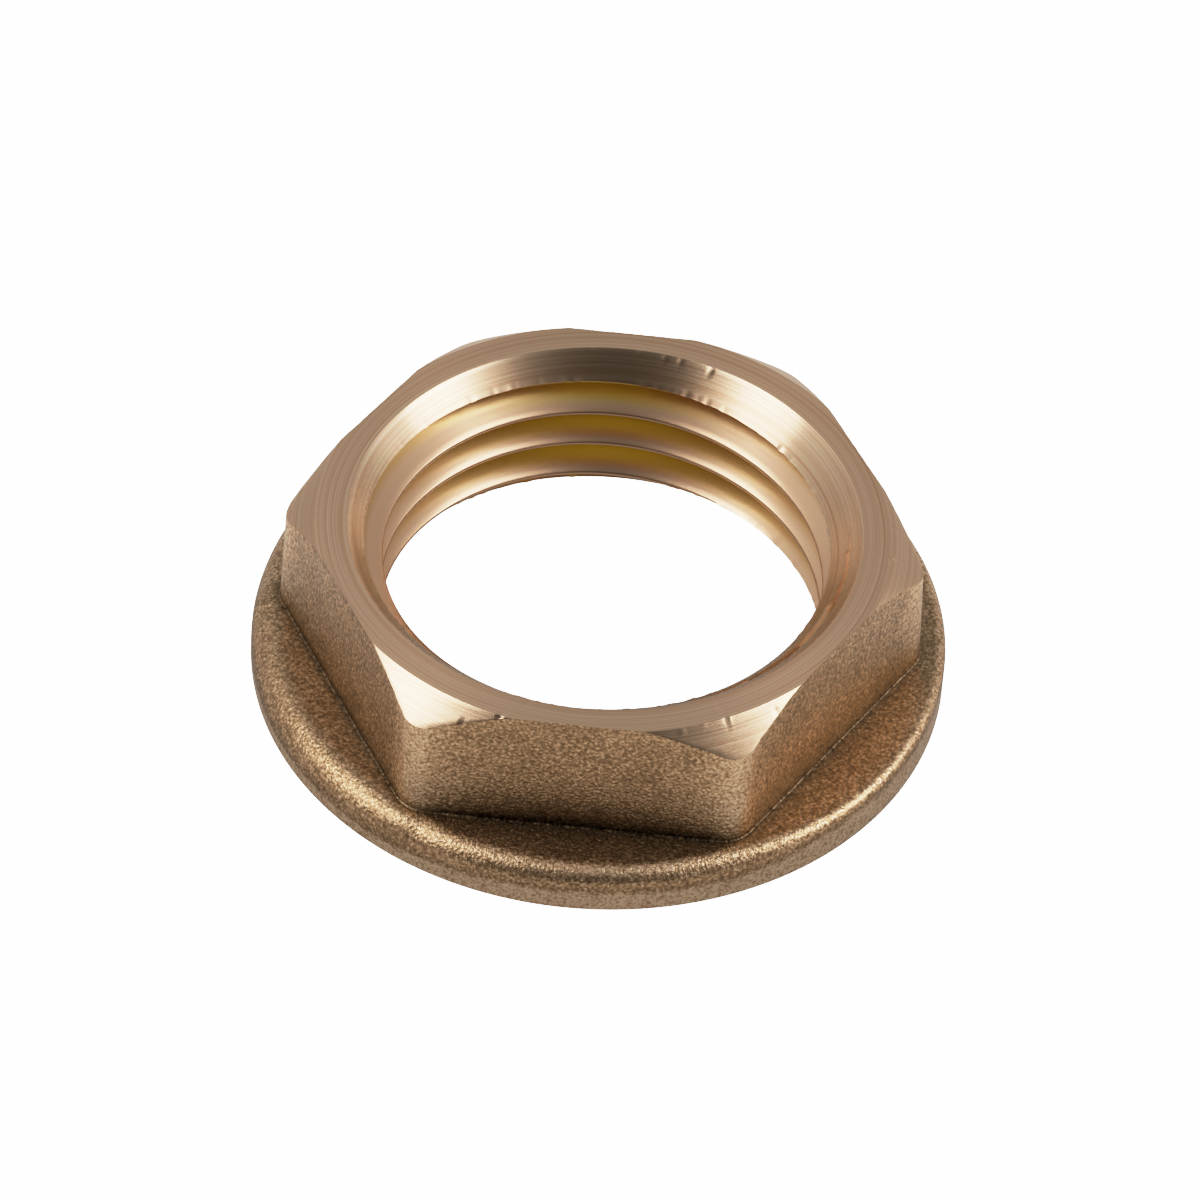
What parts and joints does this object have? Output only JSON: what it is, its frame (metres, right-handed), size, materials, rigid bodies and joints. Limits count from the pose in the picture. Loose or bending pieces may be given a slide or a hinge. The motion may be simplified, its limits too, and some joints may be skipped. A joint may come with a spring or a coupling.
{
  "type": "flanged back nut",
  "caption": "Forged brass back nut: a thin hexagon on a round flange, with a half-inch pipe thread through both and turned chamfers.",
  "frame": {"origin": "centre of the thread's axis on the flange's underside", "axes": "+Z along the thread from the flange's underside to the hexagon's top; two flats of the hexagon face +Y and -Y, and two of its corners lie on +X and -X"},
  "size_m": [0.03, 0.03, 0.008],
  "materials": {
    "forged_brass": "blasted forging with bright turned top, chamfers and thread"
  },
  "bodies": {
    "root": {"back_nut": "forged_brass"}
  },
  "joints": []
}
